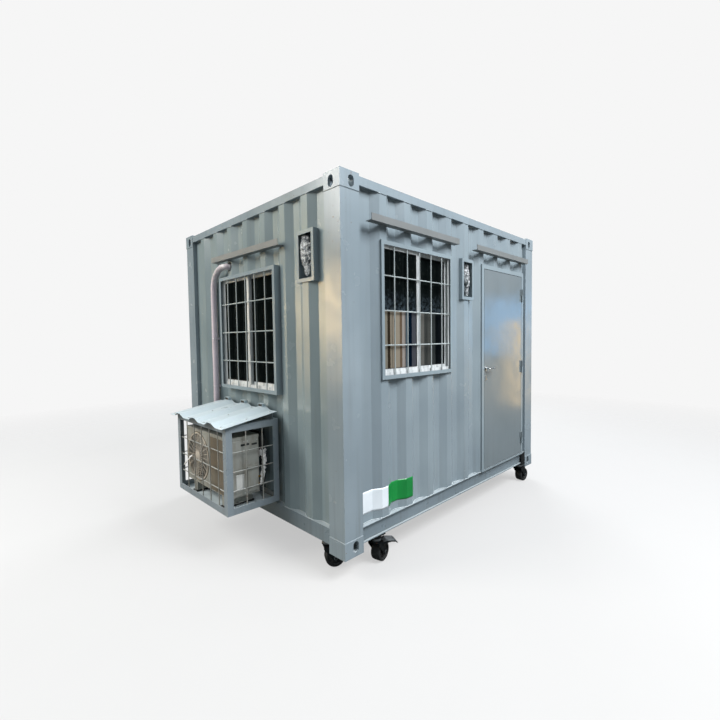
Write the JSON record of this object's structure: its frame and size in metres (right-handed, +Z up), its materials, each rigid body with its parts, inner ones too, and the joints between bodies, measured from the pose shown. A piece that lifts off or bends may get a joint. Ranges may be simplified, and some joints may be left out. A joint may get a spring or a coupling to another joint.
{
  "type": "container site office",
  "caption": "Corrugated steel box office on castors, with a hinged door, barred sliding windows and a cooling unit in a wall cage.",
  "frame": {"origin": "on the ground, midway between the outer edge of the cage roof and the far end of the box, on its centre line", "axes": "+X along the box from the cooling unit's end to the far end, +Y from the door side to the back, +Z up"},
  "size_m": [3.486, 2.5864, 2.741],
  "materials": {
    "frame_paint": "grey-blue enamel on steel",
    "wall_paint": "grey-blue enamel on corrugated steel sheet",
    "joinery_paint": "grey-blue enamel on folded steel",
    "deck_wood": "plywood floor deck",
    "lining_board": "white faced insulating panel",
    "window_aluminium": "white coated aluminium",
    "window_glass": "clear float glass",
    "bar_paint": "pale grey paint on steel rod",
    "socket_plastic": "slate grey moulded plastic",
    "hinge_steel": "painted steel",
    "lever_steel": "satin stainless steel",
    "cage_paint": "grey enamel on angle steel",
    "cage_rod_steel": "grey paint on steel rod",
    "roofing_sheet": "pale grey-blue coated roofing sheet",
    "unit_plastic": "aged beige enamel",
    "line_tape": "white wrapping tape, yellowed and pinkish",
    "castor_steel": "dark zinc-plated and painted steel",
    "castor_rubber": "black solid rubber"
  },
  "bodies": {
    "box": {"corner_castings": "frame_paint", "corner_posts": "frame_paint", "top_rails": "frame_paint", "bottom_rails": "frame_paint", "floor_beams": "frame_paint", "floor_deck": "deck_wood", "roof_sheet": "wall_paint", "ceiling": "lining_board", "front_wall": "wall_paint", "front_wall_over_door": "wall_paint", "front_wall_beside_door": "wall_paint", "back_wall": "wall_paint", "unit_end_wall": "wall_paint", "far_end_wall": "wall_paint", "wall_linings": "lining_board", "window_frames": "joinery_paint", "window_sashes": "window_aluminium", "window_glass": "window_glass", "window_grilles": "bar_paint", "rain_gutters": "joinery_paint", "niche_boxes": "joinery_paint", "niche_sockets": "socket_plastic", "door_frame": "joinery_paint", "door_hinge_pins": "hinge_steel", "cage_frame": "cage_paint", "cage_front_grille": "cage_rod_steel", "cage_side_grilles": "cage_rod_steel", "cage_floor": "cage_paint", "cage_roof_sheet": "roofing_sheet", "unit_case": "unit_plastic", "unit_fan_guard": "unit_plastic", "unit_valve_cover": "unit_plastic", "refrigerant_line": "line_tape", "castor_plates": "castor_steel"},
    "door": {"door_leaf": "joinery_paint", "door_hinge_barrels": "hinge_steel", "door_lock": "lever_steel"},
    "lever": {"door_lever": "lever_steel"},
    "castor_1": {"castor_bracket_1": "castor_steel"},
    "wheel_1": {"castor_wheel_1": "castor_rubber"},
    "castor_2": {"castor_bracket_2": "castor_steel"},
    "wheel_2": {"castor_wheel_2": "castor_rubber"},
    "castor_3": {"castor_bracket_3": "castor_steel"},
    "wheel_3": {"castor_wheel_3": "castor_rubber"},
    "castor_4": {"castor_bracket_4": "castor_steel"},
    "wheel_4": {"castor_wheel_4": "castor_rubber"},
    "castor_5": {"castor_bracket_5": "castor_steel"},
    "wheel_5": {"castor_wheel_5": "castor_rubber"},
    "castor_6": {"castor_bracket_6": "castor_steel"},
    "wheel_6": {"castor_wheel_6": "castor_rubber"}
  },
  "joints": [
    {"name": "door_swing", "type": "hinge", "parent": "box", "child": "door", "pos_m": [1.4335, -1.238, 1.313], "axis": [0, 0, 1], "range_deg": [0, 110]},
    {"name": "lever_turn", "type": "hinge", "parent": "door", "child": "lever", "pos_m": [0.637, -1.219, 1.338], "axis": [0, 1, 0], "range_deg": [0, 45], "stiffness_Nm_per_rad": 1.2, "springref_deg": -28.65},
    {"name": "castor_swivel_1", "type": "hinge", "parent": "box", "child": "castor_1", "pos_m": [-0.905, -1.183, 0.15], "axis": [0, 0, 1], "continuous": true},
    {"name": "wheel_roll_1", "type": "hinge", "parent": "castor_1", "child": "wheel_1", "pos_m": [-0.85592, -1.17346, 0.072], "axis": [0.1908, -0.9816, 0], "continuous": true},
    {"name": "castor_swivel_2", "type": "hinge", "parent": "box", "child": "castor_2", "pos_m": [1.491, -1.183, 0.15], "axis": [0, 0, 1], "continuous": true},
    {"name": "wheel_roll_2", "type": "hinge", "parent": "castor_2", "child": "wheel_2", "pos_m": [1.54073, -1.18823, 0.072], "axis": [-0.1045, -0.9945, 0], "continuous": true},
    {"name": "castor_swivel_3", "type": "hinge", "parent": "box", "child": "castor_3", "pos_m": [-1.184, -0.962, 0.15], "axis": [0, 0, 1], "continuous": true},
    {"name": "wheel_roll_3", "type": "hinge", "parent": "castor_3", "child": "wheel_3", "pos_m": [-1.1407, -0.987, 0.072], "axis": [-0.5, -0.866, 0], "continuous": true},
    {"name": "castor_swivel_4", "type": "hinge", "parent": "box", "child": "castor_4", "pos_m": [-0.905, 1.183, 0.15], "axis": [0, 0, 1], "continuous": true},
    {"name": "wheel_roll_4", "type": "hinge", "parent": "castor_4", "child": "wheel_4", "pos_m": [-0.85592, 1.17346, 0.072], "axis": [-0.1908, -0.9816, 0], "continuous": true},
    {"name": "castor_swivel_5", "type": "hinge", "parent": "box", "child": "castor_5", "pos_m": [1.491, 1.183, 0.15], "axis": [0, 0, 1], "continuous": true},
    {"name": "wheel_roll_5", "type": "hinge", "parent": "castor_5", "child": "wheel_5", "pos_m": [1.54073, 1.18823, 0.072], "axis": [0.1045, -0.9945, 0], "continuous": true},
    {"name": "castor_swivel_6", "type": "hinge", "parent": "box", "child": "castor_6", "pos_m": [-1.184, 0.962, 0.15], "axis": [0, 0, 1], "continuous": true},
    {"name": "wheel_roll_6", "type": "hinge", "parent": "castor_6", "child": "wheel_6", "pos_m": [-1.1407, 0.987, 0.072], "axis": [0.5, -0.866, 0], "continuous": true}
  ]
}
